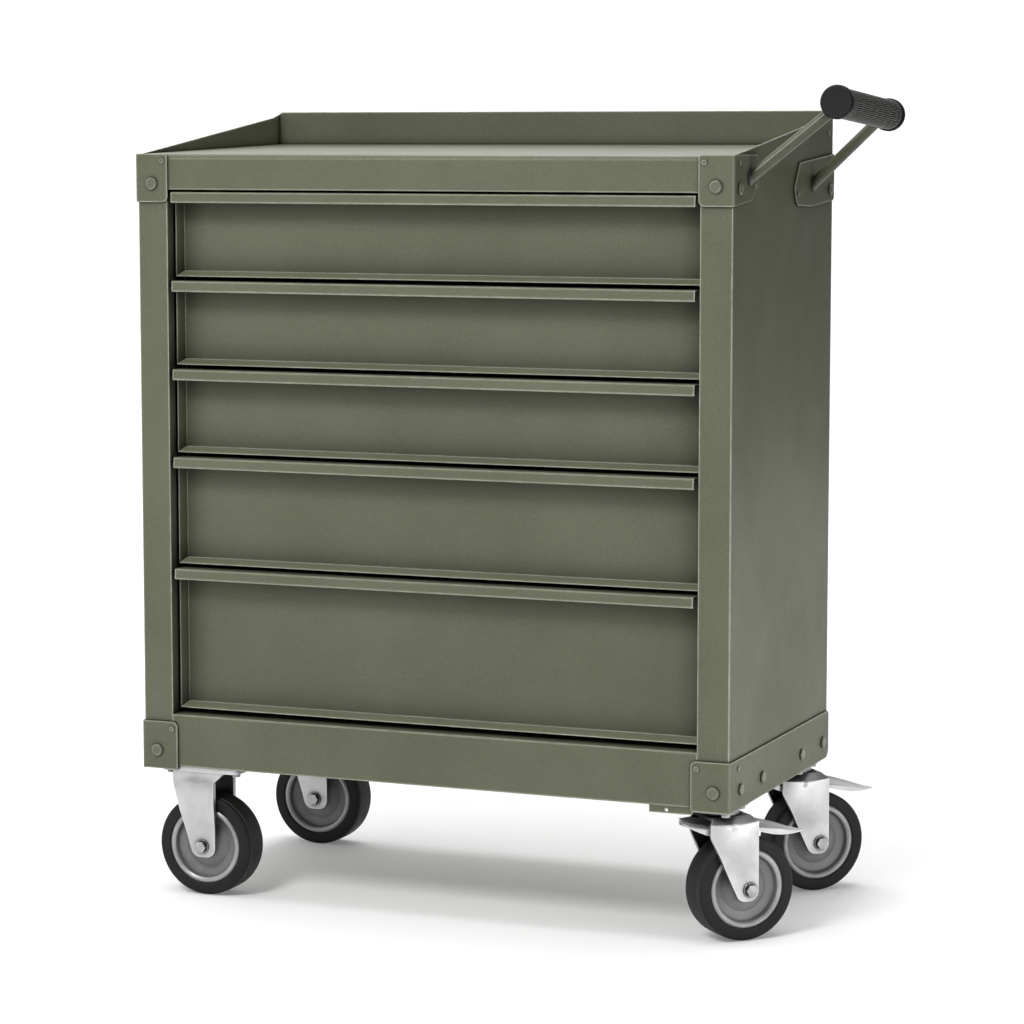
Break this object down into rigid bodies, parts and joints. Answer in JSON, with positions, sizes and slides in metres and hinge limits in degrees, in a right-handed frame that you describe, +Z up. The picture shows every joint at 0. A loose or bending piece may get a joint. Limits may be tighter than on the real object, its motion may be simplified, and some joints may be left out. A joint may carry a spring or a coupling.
{
  "type": "rolling tool chest",
  "caption": "Olive sheet-steel tool chest on castors, with full-width drawers behind pull rails, a lipped top tray and a side push handle.",
  "frame": {"origin": "middle of the chest's bounding box, on the floor", "axes": "+Z up, the drawers open towards -Y, the push handle is on the +X side"},
  "size_m": [0.8862, 0.4042, 0.9923],
  "materials": {
    "green_paint": "olive green powder coat, fine texture, satin",
    "green_fastener": "painted over, satin, worn edges",
    "zinc": "bright zinc plate, slightly cloudy",
    "fastener_zinc": "zinc plated fasteners",
    "grip_rubber": "black rubber with fine raised ribs",
    "cap_rubber": "smooth matt black rubber",
    "tyre": "black rubber tread, matt",
    "hub_grey": "grey moulded wheel centre with a lighter rim"
  },
  "bodies": {
    "cabinet": {"left_side_panel": "green_paint", "right_side_panel": "green_paint", "back_panel": "green_paint", "bottom_pan": "green_paint", "top_tray": "green_paint", "front_left_post": "green_paint", "front_right_post": "green_paint", "bottom_rail": "green_paint", "upper_left_cap": "green_paint", "upper_right_cap": "green_paint", "lower_left_cap": "green_paint", "lower_right_cap": "green_paint", "cap_bolts": "green_fastener", "cap_rivets": "green_fastener", "runner_uprights": "green_paint", "cabinet_runners": "zinc", "rear_handle_bracket": "green_paint", "handle_frame": "green_paint", "handle_grip": "grip_rubber", "grip_end_caps": "cap_rubber", "castor_mounts": "zinc", "castor_gussets": "green_paint", "castor_bolts": "fastener_zinc", "fixed_castor_forks": "zinc", "fixed_castor_axles": "fastener_zinc"},
    "drawer_1": {"drawer_1_front": "green_paint", "drawer_1_pull": "green_paint", "drawer_1_pan": "green_paint", "drawer_1_runners": "zinc"},
    "drawer_2": {"drawer_2_front": "green_paint", "drawer_2_pull": "green_paint", "drawer_2_pan": "green_paint", "drawer_2_runners": "zinc"},
    "drawer_3": {"drawer_3_front": "green_paint", "drawer_3_pull": "green_paint", "drawer_3_pan": "green_paint", "drawer_3_runners": "zinc"},
    "drawer_4": {"drawer_4_front": "green_paint", "drawer_4_pull": "green_paint", "drawer_4_pan": "green_paint", "drawer_4_runners": "zinc"},
    "drawer_5": {"drawer_5_front": "green_paint", "drawer_5_pull": "green_paint", "drawer_5_pan": "green_paint", "drawer_5_runners": "zinc"},
    "front_left_wheel": {"front_left_tyre": "tyre", "front_left_hub": "hub_grey"},
    "rear_left_wheel": {"rear_left_tyre": "tyre", "rear_left_hub": "hub_grey"},
    "front_right_swivel": {"front_right_fork": "zinc", "front_right_pins": "fastener_zinc"},
    "front_right_brake": {"front_right_pedal": "zinc"},
    "front_right_wheel": {"front_right_tyre": "tyre", "front_right_hub": "hub_grey"},
    "rear_right_swivel": {"rear_right_fork": "zinc", "rear_right_pins": "fastener_zinc"},
    "rear_right_brake": {"rear_right_pedal": "zinc"},
    "rear_right_wheel": {"rear_right_tyre": "tyre", "rear_right_hub": "hub_grey"}
  },
  "joints": [
    {"name": "drawer_1_slide", "type": "slide", "parent": "cabinet", "child": "drawer_1", "axis": [0, -1, 0], "range_m": [0, 0.27]},
    {"name": "drawer_2_slide", "type": "slide", "parent": "cabinet", "child": "drawer_2", "axis": [0, -1, 0], "range_m": [0, 0.27]},
    {"name": "drawer_3_slide", "type": "slide", "parent": "cabinet", "child": "drawer_3", "axis": [0, -1, 0], "range_m": [0, 0.27]},
    {"name": "drawer_4_slide", "type": "slide", "parent": "cabinet", "child": "drawer_4", "axis": [0, -1, 0], "range_m": [0, 0.27]},
    {"name": "drawer_5_slide", "type": "slide", "parent": "cabinet", "child": "drawer_5", "axis": [0, -1, 0], "range_m": [0, 0.27]},
    {"name": "front_left_wheel_spin", "type": "hinge", "parent": "cabinet", "child": "front_left_wheel", "pos_m": [-0.3634, -0.16032, 0.0625], "axis": [0, 1, 0], "continuous": true},
    {"name": "rear_left_wheel_spin", "type": "hinge", "parent": "cabinet", "child": "rear_left_wheel", "pos_m": [-0.3634, 0.15968, 0.0625], "axis": [0, 1, 0], "continuous": true},
    {"name": "front_right_swivel", "type": "hinge", "parent": "cabinet", "child": "front_right_swivel", "pos_m": [0.3016, -0.15532, 0.151], "axis": [0, 0, 1], "continuous": true},
    {"name": "front_right_wheel_spin", "type": "hinge", "parent": "front_right_swivel", "child": "front_right_wheel", "pos_m": [0.31797, -0.13777, 0.0625], "axis": [-0.7314, 0.682, 0], "continuous": true},
    {"name": "front_right_brake", "type": "hinge", "parent": "front_right_swivel", "child": "front_right_brake", "pos_m": [0.3016, -0.15532, 0.1375], "axis": [0.7314, -0.682, 0], "range_deg": [0, 6]},
    {"name": "rear_right_swivel", "type": "hinge", "parent": "cabinet", "child": "rear_right_swivel", "pos_m": [0.3016, 0.12668, 0.151], "axis": [0, 0, 1], "continuous": true},
    {"name": "rear_right_wheel_spin", "type": "hinge", "parent": "rear_right_swivel", "child": "rear_right_wheel", "pos_m": [0.31915, 0.14305, 0.0625], "axis": [-0.682, 0.7314, 0], "continuous": true},
    {"name": "rear_right_brake", "type": "hinge", "parent": "rear_right_swivel", "child": "rear_right_brake", "pos_m": [0.3016, 0.12668, 0.1375], "axis": [0.682, -0.7314, 0], "range_deg": [0, 6]}
  ]
}
